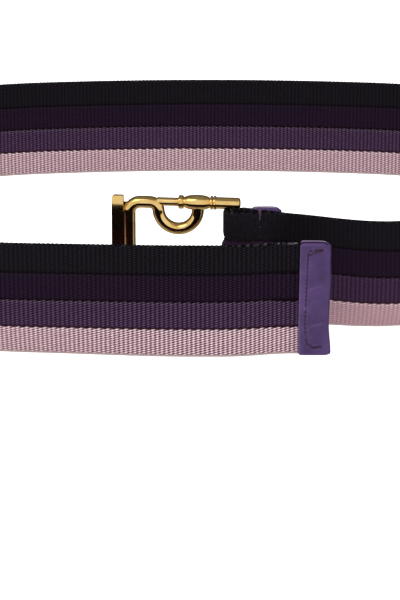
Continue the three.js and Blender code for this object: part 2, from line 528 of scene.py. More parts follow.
        # Painted shade along the band's lower edge.
        colour = n.mix(in_band.eased(*self.low_step), colour, self.low_edge_shade_colour)
        colour = n.mix(top_row_lit, colour, self.top_row_light_colour)
        height = (dome - dash * self.dash_depth) * crisp * settled.blend(*self.settled_relief)
        # Painted light near the fold, where the bent webbing catches more light.
        if self.fold_light_colour:
            near_fold = along.eased(*self.fold_begins) * along.eased(*self.fold_ends)
            colour = n.mix(near_fold * patches.blend(*self.fold_light_strength), colour, self.fold_light_colour)
        # Black only: its top edge is darkened as painted shade against the light from above, then pale
        # specks are painted on it as glints, most towards the tail and near the fold.
        if self.glint_speck_colour:
            edge = in_band.eased(*self.top_step)
            wide, high = self.speck_size
            specks = n.noise(chart, self.specks, 2.0, (wide / rib, high)).eased(*self.speckled)
            pale_and_highlit = along.eased(*self.glints_at_tail).blend(*self.highlight_and_paling)
            pale_and_highlit = pale_and_highlit + along.eased(*self.glints_at_fold) * self.fold_glints
            colour = n.mix(edge, colour, self.gap_shade_colour)
            colour = n.mix(edge * specks * pale_and_highlit, colour, self.glint_speck_colour)
        # The pink's plain selvedge, greyed as painted shade, with its floats left out of the relief.
        if self.shaded_selvedge_colour:
            edge = up.eased(*self.selvedge)
            colour = n.mix(edge, colour, self.shaded_selvedge_colour)
            height = height * (1.0 - edge)
        fibres = n.bump(n.noise(chart, 1.0, 2.0, self.fibres), self.fibre_relief)
        return n.shade({"Base Color": colour, "Roughness": self.roughness,
                        "Specular IOR Level": self.specular, "Normal": n.bump(height, self.relief, fibres)})

    def _dome(self, aside: Field, over: Field) -> Field:
        """The height of a float's round top, from 0 at its outline to 1 in its middle."""
        wide, tall = (away * (1 / size) for away, size in zip((aside, over), self.float_size))
        return (1.0 - (wide * wide + tall * tall)).op("MAXIMUM", 0.0).op("SQRT")

    @staticmethod
    def _lattice(along: Field, up: Field, rib: float, row: float, slant: Field | float,
                 shift: float) -> tuple[Field, Field]:
        """Where a place lies in a brick lattice whose next column stands half a row higher.

        Args:
            along: Millimetres along the webbing.
            up: Millimetres up the webbing.
            rib: The width of a column.
            row: The height of a cell.
            slant: How far a cell climbs over its column's width, in rows.
            shift: 0 for columns about the grooves, 0.5 for columns about the ribs' crests.

        Returns:
            How far the place is from its column's middle line and from its cell's middle, from 0 to 1.
        """
        column = along * (1 / rib) + shift
        across = column.op("FRACT") - 0.5
        climb = column.op("FLOOR") * 0.5 + across * slant
        over = (up * (1 / row) + (0.5 + 0.5 * shift) - climb).op("FRACT") - 0.5
        return across.op("ABSOLUTE") * 2.0, over.op("ABSOLUTE") * 2.0


@dataclass(frozen=True)
class Leather:
    """Smooth dyed leather with a fine grain, cloudy in tone, with painted highlights on its creases and
    puckers, and paler round its outline.

    Clouds, wrinkles, gloss and pores are numbers of each in a metre.
    """

    name: str
    colour: Colour = linear(70, 46, 96)
    deep: Colour = linear(54, 35, 78)
    # The pale colour of the painted highlights on the creases' lips and the seam's puckers, and of the
    # paler outline.
    pale_and_highlit: Colour = linear(122, 96, 138)
    clouds: float = 160.0
    cloudy: Pair = (0.3, 0.7)
    wrinkles: float = 900.0
    highlit_and_paled: Pair = (0.3, 1.1)
    gloss: float = 420.0
    roughness: Pair = (0.29, 0.51)
    specular: float = 0.28
    pores: float = 2300.0
    grain: float = 0.05

    def make(self) -> Material:
        """Makes the material, which reads the piece's own attribute of painted highlights and paler places.
        """
        n = Nodes(bpy.data.materials.new(self.name))
        places = n.object_places()
        dyed = n.mix(n.noise(places, self.clouds, 4.0).eased(*self.cloudy), self.deep, self.colour)
        wrinkles = n.noise(places, self.wrinkles, 3.0)
        # Painted highlights on the creases' lips and the seam's puckers, and a paler outline, where the
        # attribute says.
        highlight_and_paling = n.add("ShaderNodeAttribute", attribute_name="highlight_and_paling").outputs["Fac"]
        highlit_and_paled = wrinkles.blend(*self.highlit_and_paled) * Field(n, highlight_and_paling)
        gloss = n.noise(places, self.gloss, 3.0).blend(*self.roughness)
        cells = n.add("ShaderNodeTexVoronoi", feature="SMOOTH_F1")
        n.feed(cells.inputs["Vector"], places)
        n.feed(cells.inputs["Scale"], self.pores)
        pores = n.bump(cells.outputs["Distance"], self.grain)
        return n.shade({"Base Color": n.mix(highlit_and_paled, dyed, self.pale_and_highlit), "Roughness": gloss,
                        "Specular IOR Level": self.specular, "Normal": n.bump(wrinkles, self.grain, pores)})


@dataclass(frozen=True)
class Thread:
    """Twisted sewing thread, with a few pale glints. Strands and glints are numbers of each in a metre."""

    name: str
    colour: Colour
    dark: Colour
    glint: Colour
    strands: float = 5200.0
    twisted: Pair = (0.35, 0.65)
    glints: float = 1500.0
    glinting: Pair = (0.64, 0.74)
    roughness: float = 0.5
    specular: float = 0.3
    relief: float = 0.05

    def make(self) -> Material:
        """Makes the material."""
        n = Nodes(bpy.data.materials.new(self.name))
        places = n.object_places()
        strands = n.noise(places, self.strands, 2.0)
        twist = n.mix(strands.eased(*self.twisted), self.dark, self.colour)
        glints = n.noise(places, self.glints, 1.0).eased(*self.glinting)
        return n.shade({"Base Color": n.mix(glints, twist, self.glint), "Roughness": self.roughness,
                        "Specular IOR Level": self.specular, "Normal": n.bump(strands, self.relief)})


@dataclass(frozen=True)
class Gold:
    """Polished gold plating, with hair-fine polishing marks and slightly duller patches.

    Patches and marks are numbers of each in a metre.
    """

    name: str
    colour: Colour = linear(240, 206, 136)
    warm: Colour = linear(226, 184, 108)
    patches: float = 210.0
    patchy: Pair = (0.35, 0.7)
    roughness: Pair = (0.05, 0.11)
    marks: float = 700.0
    mark_depth: float = 0.004

    def make(self) -> Material:
        """Makes the material."""
        n = Nodes(bpy.data.materials.new(self.name))
        places = n.object_places()
        patches = n.noise(places, self.patches, 3.0)
        marks = n.noise(places, self.marks, 2.0)
        return n.shade({"Base Color": n.mix(patches.eased(*self.patchy), self.colour, self.warm),
                        "Metallic": 1.0, "Roughness": patches.blend(*self.roughness),
                        "Normal": n.bump(marks, self.mark_depth)})


@dataclass(frozen=True)
class Paper:
    """The pale studio floor, with this many fibres in a metre."""

    name: str
    colour: Colour = linear(246, 246, 246)
    fibre_colour: Colour = linear(244, 244, 244)
    fibres: float = 60.0
    roughness: float = 0.9
    specular: float = 0.1
    glow: float = 0.8

    def make(self) -> Material:
        """Makes the material."""
        n = Nodes(bpy.data.materials.new(self.name))
        fibres = n.noise(n.object_places(), self.fibres, 3.0)
        return n.shade({"Base Color": n.mix(fibres, self.fibre_colour, self.colour),
                        "Roughness": self.roughness, "Specular IOR Level": self.specular,
                        "Emission Color": self.colour, "Emission Strength": self.glow})


# The webbing's route


@dataclass(frozen=True)
class Leg:
    """One straight run or arc of the route seen from above, with its turn to the left in degrees."""

    name: str
    length: float
    turn: float = 0.0


@dataclass(frozen=True)
class Station:
    """A place on the route: its point, its heading in radians and its distance from the start."""

    x: float
    y: float
    heading: float
    distance: float

    def ahead(self, length: float, turn: float) -> "Station":
        """Goes on along an arc.

        Args:
            length: The arc's length in millimetres.
            turn: How far it turns to the left, in radians.

        Returns:
            The place at its end.
        """
        chord = length if turn == 0 else 2 * length / turn * math.sin(turn / 2)
        middle = self.heading + turn / 2
        return Station(self.x + chord * math.cos(middle), self.y + chord * math.sin(middle),
                       self.heading + turn, self.distance + length)

    @property
    def point(self) -> Vector:
        """Its point, at the floor's height."""
        return Vector((self.x, self.y, 0))

    @property
    def inward(self) -> Vector:
        """The direction to the left of the route, which is the inside of the loop."""
        return Vector((-math.sin(self.heading), math.cos(self.heading), 0))


@dataclass
class Route:
    """The webbing's centre line, from the folded-back end round the bar and the loop to the tip."""

    rod_radius: float = 2.0
    seat_gap: float = 0.3
    thickness: float = 1.6
    leather: float = 1.0
    fold_heading: float = 2.5
    neck_angle: float = 40.0
    neck_radius: float = 3.5
    flap: float = 8.5
    fold_mouth: float = 6.2
    lift_height: float = 4.9
    lift_down: Pair = (8.0, 58.0)
    tip_overlap: float = 9.3
    pocket_mouth: Pair = (0.3, 0.9)
    legs: list[Leg] = field(init=False)
    starts: list[Station] = field(init=False)
    fold_start: Station = field(init=False)
    fold_end: Station = field(init=False)

    def __post_init__(self) -> None:
        """Works out the legs, and moves the route so that its bar is the buckle's joint."""
        neck = math.radians(self.neck_angle)
        wrap = self.wrap_radius
        neck_run = (wrap * math.cos(neck) - self.flap_offset
                    - self.neck_radius * (1 - math.cos(neck))) / math.sin(neck)
        self.legs = [
            Leg("flap", self.flap),
            Leg("neck_bend", self.neck_radius * neck, -self.neck_angle),
            Leg("neck_run", neck_run),
            Leg("wrap", wrap * (math.pi + neck), 180 + self.neck_angle),
            Leg("back_start", 18),
            Leg("back_run", 44, 6.5),
            Leg("near_right", 84, 38),
            Leg("right_side", 139.6, 87),
            Leg("far_right", 84, 38),
            Leg("far_run", 139.7, 16),
            Leg("far_left", 84, 38),
            Leg("left_side", 164.4, 87),
            Leg("near_left", 84, 38),
            Leg("front_run", 70, 9),
            Leg("front_flat", 5),
            Leg("tail_out", 16, 14),
            Leg("tail_back", 12.7, -14),
            Leg("tail_end", 9.1),
        ]
        start = Station(0, 0, math.radians(180 + self.fold_heading), 0)
        self._walk(start)
        shift = joint_place("buckle_swing") - self.bar
        self._walk(Station(shift.x, shift.y, start.heading, 0))

    def _walk(self, start: Station) -> None:
        """Works out where each leg starts, and where the fold round the bar begins and ends.

        Args:
            start: Where the first leg starts.
        """
        self.starts = [start]
        for leg in self.legs:
            self.starts.append(self.starts[-1].ahead(leg.length, math.radians(leg.turn)))
        named = {leg.name: station for leg, station in zip(self.legs, self.starts)}
        self.fold_start = named["wrap"]
        self.fold_end = named["back_start"]

    @property
    def wrap_radius(self) -> float:
        """The radius of the webbing's centre line round the bar."""
        return self.rod_radius + self.seat_gap + self.thickness / 2

    @property
    def flap_offset(self) -> float:
        """How far behind the bar's axis the folded-back layer lies."""
        return self.thickness + self.leather + 2 * self.seat_gap - self.wrap_radius

    @property
    def bar(self) -> Vector:
        """The axis of the bar."""
        return self.fold_end.point + self.fold_end.inward * self.wrap_radius

    @property
    def end(self) -> Station:
        """The tail's cut end."""
        return self.starts[-1]

    @property
    def length(self) -> float:
        """The webbing's whole cut length."""
        return self.end.distance

    def at(self, distance: float) -> Station:
        """Finds a place on the route.

        Args:
            distance: How far it is from the start.

        Returns:
            The place.
        """
        index = 0
        while index < len(self.legs) - 1 and self.starts[index + 1].distance <= distance:
            index += 1
        leg, start = self.legs[index], self.starts[index]
        along = distance - start.distance
        return start.ahead(along, math.radians(leg.turn) * along / leg.length)

    def round_fold(self, distance: float) -> float:
        """How far a place is into the fold round the bar: 0 outside it, and 1 in its middle."""
        share = share_of(distance, self.fold_start.distance, self.fold_end.distance)
        return math.sin(math.pi * share) ** 2

    def pocketed(self, distance: float) -> float:
        """How far a place is inside one of the leather pockets, from 0 at its mouth to 1."""
        tip = distance - (self.length - self.tip_overlap)
        return ramp(max(tip, self.flap - distance), *self.pocket_mouth)

    def lift(self, distance: float) -> float:
        """How high the webbing's lower edge is above the floor."""
        share = share_of(distance - self.fold_end.distance, *self.lift_down)
        return self.lift_height * (1 + math.cos(math.pi * share)) / 2


def joint_place(name: str) -> Vector:
    """Where a joint of the CAD model is, in millimetres."""
    row = next(joint for joint in frame["joints"] if joint["name"] == name)
    return Vector(row["pos_m"]) / MM


# The webbing


class BandPlace(Enum):
    """The four colours of the webbing, by their place from the floor up."""

    PINK = 0
    PURPLE = 1
    AUBERGINE = 2
    BLACK = 3


WEAVES = {
    BandPlace.PINK: Weave(
        "pink_yarn", lit_float_colour=linear(234, 204, 213), shaded_yarn_colour=linear(158, 125, 132),
        gap_shade_colour=linear(50, 15, 28), low_edge_shade_colour=linear(152, 122, 128),
        top_row_light_colour=linear(222, 200, 206), groove_shade=0.1, specular=0.15, first_cap_light=0.45,
        shaded_selvedge_colour=linear(158, 140, 139)),
    BandPlace.PURPLE: Weave(
        "purple_yarn", lit_float_colour=linear(86, 65, 92), shaded_yarn_colour=linear(53, 34, 56),
        gap_shade_colour=linear(26, 8, 33), low_edge_shade_colour=linear(42, 18, 30),
        top_row_light_colour=linear(90, 78, 90)),
    BandPlace.AUBERGINE: Weave(
        "aubergine_yarn", lit_float_colour=linear(40, 26, 44), shaded_yarn_colour=linear(27, 14, 30),
        gap_shade_colour=linear(14, 4, 18), low_edge_shade_colour=linear(18, 6, 14),
        top_row_light_colour=linear(38, 28, 40), fold_light_colour=linear(70, 46, 70), groove_shade=0.45, calm=0.5),
    BandPlace.BLACK: Weave(
        "black_yarn", lit_float_colour=linear(30, 26, 32), shaded_yarn_colour=linear(20, 16, 22),
        gap_shade_colour=linear(8, 6, 10), low_edge_shade_colour=linear(12, 8, 12),
        top_row_light_colour=linear(28, 25, 29), fold_light_colour=linear(40, 36, 43),
        glint_speck_colour=linear(92, 84, 94), groove_shade=0.45, calm=0.5),
}


@dataclass(frozen=True)
class Curl:
    """A stretch of the webbing, counted from the buckle or the tip, whose edges stand back."""

    begins: Pair
    top: float
    bottom: float
    outward: float = 0.0
    ends: Pair = (330.0, 170.0)

    def stand_back(self, away: float, share: float) -> float:
        """How far a place stands inside the webbing's route.

        Args:
            away: Its distance from the webbing's end, in millimetres.
            share: Its height: -1 at the lower edge, and 1 at the upper one.

        Returns:
            The millimetres inward.
        """
        strength = ramp(away, *self.begins) * ramp(away, *self.ends)
        edge = self.top * share ** 2 if share > 0 else self.bottom * -share ** 3
        return strength * edge - self.outward * strength ** 4


@dataclass
class Webbing:
    """Four bands of ribbed webbing, one above the other, with real ribs and stepped edges.

    A pair says how far along something is 0 and how far along it is full: from the tip's pocket back
    for the sag, from the folded-back end for the teeth, and from the bar for the rises.
    """

    route: Route
    band_pitch: float = 10.0
    seams: tuple[float, ...] = (0.0, 10.0, 19.75, 29.5, 40.0)
    tip_sag: tuple[float, ...] = (0.0, 0.25, 0.6, 0.42, 0.0)
    sagging: Pair = (13.0, 3.0)
    rib: float = 1.549
    rows_per_band: int = 12
    samples_per_rib: int = 4
    rib_depth: float = 0.1
    rib_fullness: float = 1.5
    seam_step: float = 0.125
    plain_foot: Pair = (0.9, 1.2)
    teeth: Pair = (0.021, 0.07)
    teeth_grow: Pair = (130.0, 330.0)
    half: float = 0.8
    seam_gap: float = 0.02
    face_rows: int = 8
    pocket_drop: float = 1.3
    neck_rise: float = 0.5
    neck: Pair = (-0.3, 2.0)
    corner_rise: float = 0.8
    corner: Pair = (8.0, 4.5)
    front_rise: float = 0.65
    front: Pair = (20.0, 9.0)
    coming_forward: Pair = (-2.6, 0.0)
    slack: tuple[float, ...] = (0.2, 0.4, 0.7, 0.12)
    fold_rounding: float = 0.92
    rounding_height: float = 1.9
    round_edge: Path = ((0.0, 0.0), (0.55, 0.06), (0.86, 0.32), (1.0, 0.85))
    seam_edge: Path = ((0.0, 0.0), (0.66, 0.0), (0.9, 0.14), (1.0, 0.45))
    buckle_curl: Curl = Curl(begins=(14.0, 58.0), top=1.4, bottom=5.5)
    tail_curl: Curl = Curl(begins=(45.0, 115.0), top=0.0, bottom=2.1, outward=1.8)

    @property
    def row(self) -> float:
        """The height of one float."""
        return self.band_pitch / self.rows_per_band

    def build(self) -> None:
        """Makes the four bands, from the floor up."""
        for place in BandPlace:
            self._band(place)

    def edge_height(self, place: int, distance: float) -> float:
        """Where the step between two bands lies, which climbs a quarter of a row over every second rib.

        Args:
            place: The number of the step, from the floor up.
            distance: How far along the route it is.

        Returns:
            Its height above the lower edge.
        """
        from_pocket = self.route.length - self.route.tip_overlap - distance
        height = self.seams[place] - self.tip_sag[place] * ramp(from_pocket, *self.sagging)
        if place == 0:
            return height
        if place == len(BandPlace):
            low, high = self.teeth
            tooth = low + (high - low) * ramp(distance, *self.teeth_grow)
            height += self.rise(distance) - self.pocket_drop * self.route.pocketed(distance)
            return height + tooth * math.cos(2 * math.pi * distance / self.rib)
        return height + self.seam_step * self.row * math.cos(math.pi * distance / self.rib)

    def rise(self, distance: float) -> float:
        """How far the top edge stands up behind the bar, and where it comes forward out of the fold.

        Args:
            distance: How far along the route it is.

        Returns:
            The millimetres upward.
        """
        before = self.route.fold_start.distance - distance
        if before > self.neck[0]:
            return self.neck_rise * ramp(before, *self.neck)
        past = distance - self.route.fold_end.distance
        rise = self.corner_rise * ramp(past, *self.corner) + self.front_rise * ramp(past, *self.front)
        return rise * ramp(past, *self.coming_forward)

    def section(self, place: BandPlace) -> list[tuple[float, float, float]]:
        """The outline of a band's outer half, from its lower middle to its upper middle.

        Args:
            place: Which band it is. The lowest and highest have a full round edge.

        Returns:
            Rows of the share of the half thickness, a share of the height between the edges,
            and millimetres added to that height.
        """
        low = self.round_edge if place is BandPlace.PINK else self.seam_edge
        high = self.round_edge if place is BandPlace.BLACK else self.seam_edge
        middle = [(1.0, row / self.face_rows, 0.0) for row in range(1, self.face_rows)]
        return ([(out, 0.0, up) for out, up in low] + middle
                + [(out, 1.0, -up) for out, up in reversed(high)])

    def stand_back(self, distance: float, height: float) -> float:
        """How far the webbing stands inside its route at a height, because its edges curl in."""
        share = height / (self.band_pitch * len(BandPlace) / 2) - 1
        return (self.buckle_curl.stand_back(distance - self.route.fold_end.distance, share)
                + self.tail_curl.stand_back(self.route.length - distance, share))

    def fold_bulge(self, place: BandPlace, distance: float, out: float, low: float, high: float) -> float:
        """How far a band stands out from the others in the fold, where each rounds off at its seams.

        Args:
            place: Which band it is.
            distance: The distance along the route.
            out: A share of the half thickness, above 0 on the good side.
            low: The height above the band's lower edge.
            high: The height below its upper edge.

        Returns:
            The millimetres outward.
        """
        if place is BandPlace.PINK:
            low = high
        if place is BandPlace.BLACK:
            high = low
        rounding = self.fold_rounding * ramp(min(low, high), self.rounding_height, 0.0) * max(out, 0.0)
        return self.route.round_fold(distance) * (self.slack[place.value] - rounding)

    def _slice(self, place: BandPlace, ring: Sequence[tuple[float, float, float]],
               distance: float) -> list[tuple[Vector, Pair]]:
        """Cuts a band across.

        Args:
            place: Which band it is.
            ring: The outline's corners, in rows as those of section.
            distance: How far along the route the cut is.

        Returns:
            The cut's corners, each with its millimetres along and up the webbing.
        """
        station = self.route.at(distance)
        foot = station.point + Vector((0, 0, self.route.lift(distance)))
        low, high = (self.edge_height(place.value + side, distance) for side in (0, 1))
        wave = (1 - math.cos(2 * math.pi * distance / self.rib)) / 2
        groove = self.rib_depth * wave ** self.rib_fullness
        corners = []
        for out, share, up in ring:
            gap = self.seam_gap * (1 - 2 * share) if share in (0.0, 1.0) else 0.0
            height = low + share * (high - low) + up + gap
            ribbed = ramp(height, *self.plain_foot) if place is BandPlace.PINK else 1.0
            depth = self.stand_back(distance, height) - out * (self.half - groove * ribbed)
            depth -= self.fold_bulge(place, distance, out, height - low, high - height)
            corners.append((foot + station.inward * depth + Vector((0, 0, height)), (distance, height)))
        return corners

    def _band(self, place: BandPlace) -> None:
        """Makes one band as a closed mesh with its own map of millimetres along and up.

        Args:
            place: Which band it is.
        """
        length, name = self.route.length, place.name.lower()
        steps = round(length / self.rib * self.samples_per_rib)
        outline = self.section(place)
        ring = outline + [(-out, share, up) for out, share, up in reversed(outline[1:-1])]
        size = len(ring)
        slices = [self._slice(place, ring, length * step / steps) for step in range(steps + 1)]
        places, chart = zip(*(corner for corners in slices for corner in corners))
        faces = [
            (first + i, first + (i + 1) % size, first + size + (i + 1) % size, first + size + i)
            for first in range(0, steps * size, size) for i in range(size)
        ]
        faces += [tuple(range(size))[::-1], tuple(steps * size + i for i in range(size))]
        mesh = bpy.data.meshes.new(f"band_{name}")
        mesh.from_pydata([p * MM for p in places], [], faces)
        corners = np.zeros(len(mesh.loops), np.int32)
        mesh.loops.foreach_get("vertex_index", corners)
        layer = mesh.uv_layers.new(name="weave")
        layer.data.foreach_set("uv", np.array(chart, np.float32)[corners].ravel())
        mesh.polygons.foreach_set("use_smooth", [True] * len(mesh.polygons))
        piece = bpy.data.objects.new(mesh.name, mesh)
        link(piece)
        face_outwards(piece)
        base, top = self.seams[place.value:place.value + 2]
        finish = WEAVES[place].make(self.rib, self.row, base, top - base)
        dress(piece, finish, f"{name}_webbing", "belt", f"webbing_{name}")


# Leather covers and their seams


@dataclass(frozen=True)
class Stripe:
    """A soft stripe beside a line: its strength, how far aside it lies and its half width."""

    strength: float
    aside: float
    width: float

    def at(self, away: np.ndarray | float) -> np.ndarray | float:
        """How strong it is this far from the line."""
        return self.strength * np.exp(-(((away - self.aside) / self.width) ** 2))


@dataclass(frozen=True)
class Crease:
    """A shallow wrinkle on a cover's face, through places across and up from its mouth."""

    path: Path
    depth: float = 0.1
    width: float = 0.22
    taper: float = 1.8
    lip: float = 0.6
    # How strongly the crease's lip is painted paler: a painted highlight where it catches the light.
    highlight_and_paling: float = 2.2

    def strength(self, spots: np.ndarray, aside: float) -> np.ndarray:
        """How strong the wrinkle is at spots of the flat sheet.

        Args:
            spots: Rows of two numbers.
            aside: How far to its side the strongest line lies.

        Returns:
            A share of 0 to 1 for each spot, which fades out towards the wrinkle's ends.
        """
        ends = [np.linalg.norm(spots - np.array(end), axis=1) for end in (self.path[0], self.path[-1])]
        faded = np.clip(np.minimum(*ends) / self.taper, 0, 1)
        return faded * Stripe(1.0, aside, self.width).at(nearness(spots, self.path))


def nearness(spots: np.ndarray, path: Path) -> np.ndarray:
    """How near spots of a flat sheet are to a path of straight stretches.

    Args:
        spots: Rows of two numbers.
        path: The path's corners.

    Returns:
        The distance of each spot.
    """
    best = np.full(len(spots), np.inf)
    for first, second in zip(path, path[1:]):
        start = np.array(first)
        along = np.array(second) - start
        share = np.clip((spots - start) @ along / (along @ along), 0, 1)
        best = np.minimum(best, np.linalg.norm(spots - start - share[:, None] * along, axis=1))
    return best


def spaced(path: Path, pitch: float) -> list[tuple[Vector, Vector]]:
    """Finds spots at an even pitch along a path.

    Args:
        path: The path's corners.
        pitch: The distance from one spot to the next.

    Returns:
        The spots, each with the path's direction there.
    """
    found = []
    left = pitch / 2
    for first, second in zip(path, path[1:]):
        start, end = Vector(first), Vector(second)
        run = (end - start).length
        while left <= run:
            found.append((start.lerp(end, left / run), (end - start).normalized()))
            left += pitch
        left -= run
    return found


@dataclass
class Cover:
    """A strip of leather folded round a cut end of the webbing, open along both long edges.

    A spot of it is given by the millimetres across the unfolded strip and up it.
    """

    name: str
    node: str
    mouth: Vector
    heading: float
    length: float
    seam: Path
    creases: tuple[Crease, ...] = ()
    height: float = 40.0
    thickness: float = 1.0
    pocket: float = 1.1
    corner: float = 1.3
    fold_dip: Stripe = Stripe(1.4, 0.0, 1.2)
    foot_dip: Stripe = Stripe(0.3, 0.0, 1.2)
    slant: float = 0.5
    waist: Path = ((0, 0), (1, 0))
    pinch: float = 0.0
    pinch_height: float = 1.6
    grid: float = 0.3
    fold_steps: int = 16
    edge_round: float = 0.22
    edge_angle: float = 60.0
    groove: Stripe = Stripe(-0.3, 0.0, 0.42)
    ridge: Stripe = Stripe(0.02, 0.85, 0.4)
    puckers: Stripe = Stripe(0.08, 0.85, 0.4)
    pucker_pitch: float = 1.45
    swell: float = 0.12
    wave: float = 0.05
    wave_rate: float = 0.45
    wave_start: float = 1.0
    # Painted highlight on the puckers beside the seam, between the stitches.
    pucker_highlight: Stripe = Stripe(0.22, 0.6, 0.3)
    # How much paler the leather is made round its outline and towards its mouth.
    outline_paling: Stripe = Stripe(0.3, 0.0, 0.5)
    mouth_paling: float = 0.08
    mouth_paling_span: Pair = (1.5, 2.3)
    facing: float = 0.75

    @property
    def middle(self) -> float:
        """How far the leather's own middle is from the webbing's centre plane."""
        return self.pocket + self.thickness / 2

    @property
    def flat(self) -> float:
        """The length of each flat face, up to where the fold begins."""
        return self.length - self.pocket - self.thickness

    @property
    def strip(self) -> float:
        """The length of the strip before it was folded."""
        return 2 * self.flat + math.pi * self.middle

    @property
    def place(self) -> Matrix:
        """Where the cover is on the belt."""
        return place_matrix(self.mouth, self.heading)

    def build(self) -> None:
        """Makes the cover: a plane, folded by a spin, divided, shaped and given its thickness."""
        piece = self._folded_strip()
        for corner, place in zip(piece.data.vertices, self.surface(self._spots(piece))):
            corner.co = Vector(place) * MM
        apply_modifier(piece, "SOLIDIFY", thickness=self.thickness * MM, offset=0.0,
                       use_even_offset=True)
        face_outwards(piece)
        soften(piece, self.edge_round, segments=2, degrees=self.edge_angle)
        smooth_by_angle(piece, self.edge_angle)
        self._paint_highlight_and_paling(piece)
        cut_edges = self._cut_edges(piece)
        settle(piece, self.place)
        dress(piece, Leather("purple_leather").make(), "purple_leather", "belt", self.node)
        self.strip * MM
        self.height * MM
        cut = Leather("purple_leather_edge", colour=linear(132, 122, 136), deep=linear(108, 98, 114),
                      roughness=(0.49, 0.71))
        piece.data.materials.append(cut.make())
        piece.data.polygons.foreach_set("material_index", cut_edges)

    def _folded_strip(self) -> Piece:
        """The strip's middle surface, folded and divided into a fine grid.

        Returns:
            The surface, without a thickness.
        """
        flat, near = self.flat * MM, NEAR * MM
        piece = added(bpy.ops.mesh.primitive_plane_add, size=1.0)
        piece.name = piece.data.name = self.name
        with editing(piece):
            bpy.ops.transform.resize(value=(flat, self.height * MM, 1.0))
            bpy.ops.transform.rotate(value=-math.pi / 2, orient_axis="X", center_override=(0, 0, 0))
            bpy.ops.transform.translate(value=(flat / 2, -self.middle * MM, self.height * MM / 2))
            select_edges(piece, lambda a, b: min(a.x, b.x) > flat - near)
            bpy.ops.mesh.spin(steps=self.fold_steps, angle=-math.pi, center=(flat, 0, 0),
                              axis=(0, 0, 1))
            bpy.ops.mesh.extrude_region_move(TRANSFORM_OT_translate={"value": (-flat, 0, 0)})
            bpy.ops.mesh.select_all(action="SELECT")
            bpy.ops.mesh.remove_doubles(threshold=near)
            select_edges(piece, lambda a, b: abs(a.z - b.z) > near)
            bpy.ops.mesh.subdivide(number_cuts=round(self.height / self.grid) - 1)
            select_edges(piece, lambda a, b: abs(a.x - b.x) > flat / 2)
            bpy.ops.mesh.subdivide(number_cuts=round(self.flat / self.grid) - 1)
        return piece

    def _spots(self, piece: Piece) -> np.ndarray:
        """The spot of the unfolded strip that each corner of the folded one comes from.

        Args:
            piece: The folded strip, in the cover's own frame.

        Returns:
            Rows of the place across the unfolded strip and up it.
        """
        spots = []
        for x, y, z in (corner.co / MM for corner in piece.data.vertices):
            if x > self.flat:
                across = self.flat + self.middle * (math.atan2(y, x - self.flat) + math.pi / 2)
            else:
                across = x if y < 0 else self.strip - x
            spots.append((across, z))
        return np.array(spots)

    def _mirrored(self, spots: np.ndarray) -> np.ndarray:
        """The spots, with those of the rear half moved to the same place on the front half."""
        return np.column_stack((np.minimum(spots[:, 0], self.strip - spots[:, 0]), spots[:, 1]))

    def _ripple(self, up: np.ndarray) -> np.ndarray:
        """The rise and fall of the leather between the stitches, from 0 to 1."""
        return 0.5 + 0.5 * np.sin(2 * math.pi * up / self.pucker_pitch)

    def relief(self, spots: np.ndarray) -> np.ndarray:
        """How far the leather stands out from its plain form.

        Args:
            spots: Rows of the place across the unfolded strip and up it.

        Returns:
            The millimetres of each spot.
        """
        spots = self._mirrored(spots)
        across, up = spots.T
        away = nearness(spots, self.seam)
        inner = np.sin(np.clip(across / self.flat, 0, 1) * math.pi / 2)
        out = self.groove.at(away) + self.ridge.at(away) + self.puckers.at(away) * self._ripple(up)
        out += self.swell * inner * np.sin(np.clip(up / self.height, 0, 1) * math.pi)
        out += self.wave * inner * np.sin(up * self.wave_rate + self.wave_start)
        for crease in self.creases:
            out -= crease.depth * crease.strength(spots, 0.0)
            out += crease.lip * crease.depth * crease.strength(spots, 2 * crease.width)
        return out

    def surface(self, spots: np.ndarray) -> np.ndarray:
        """Where spots of the unfolded strip are once it is folded and shaped.

        Args:
            spots: Rows of the place across the unfolded strip and up it.

        Returns:
            Rows of three millimetres in the cover's own frame, on the leather's middle surface.
        """
        places = []
        for (across, up), out in zip(spots, self.relief(spots)):
            rear = across > self.strip / 2
            edge = self.strip - across if rear else across
            side = min(up, self.height - up)
            upper = up > self.height / 2
            if edge < self.corner and side < self.corner:
                a, b = (1 - edge / self.corner), (1 - side / self.corner)
                edge = self.corner * (1 - a * math.sqrt(1 - b * b / 2))
                side = self.corner * (1 - b * math.sqrt(1 - a * a / 2))
            turn = (across - self.strip / 2) / self.middle
            closed = self.pinch * ramp(side, self.pinch_height, 0.0) if upper else 0.0
            dip = (self.fold_dip if upper else self.foot_dip).at(turn)
            side += dip * (1 - side / self.height * 2)
            up = self.height - side if upper else side
            reach = min(edge / self.flat, 1.0)
            drawn_in = float(np.interp(up, *zip(*self.waist))) * reach
            lean = self.slant * (up / self.height - 0.5) * (1 - reach) - drawn_in
            radius = self.middle + out
            if edge <= self.flat:
                places.append((edge + lean, (radius - closed) * (1 if rear else -1), up))
            else:
                places.append((self.flat + lean + radius * math.cos(turn),
                               (radius - closed) * math.sin(turn), up))
        return np.array(places)

    def ground(self, spot: Vector, rear: bool) -> tuple[Vector, Vector]:
        """Finds the leather's outer surface.

        Args:
            spot: A spot of the front face.
            rear: Whether the same place of the rear face is meant.

        Returns:
            The place, and the way that the surface faces.
        """
        across = self.strip - spot.x if rear else spot.x
        out = Vector((0, 1 if rear else -1, 0))
        return Vector(self.surface(np.array([[across, spot.y]]))[0]) + out * self.thickness / 2, out

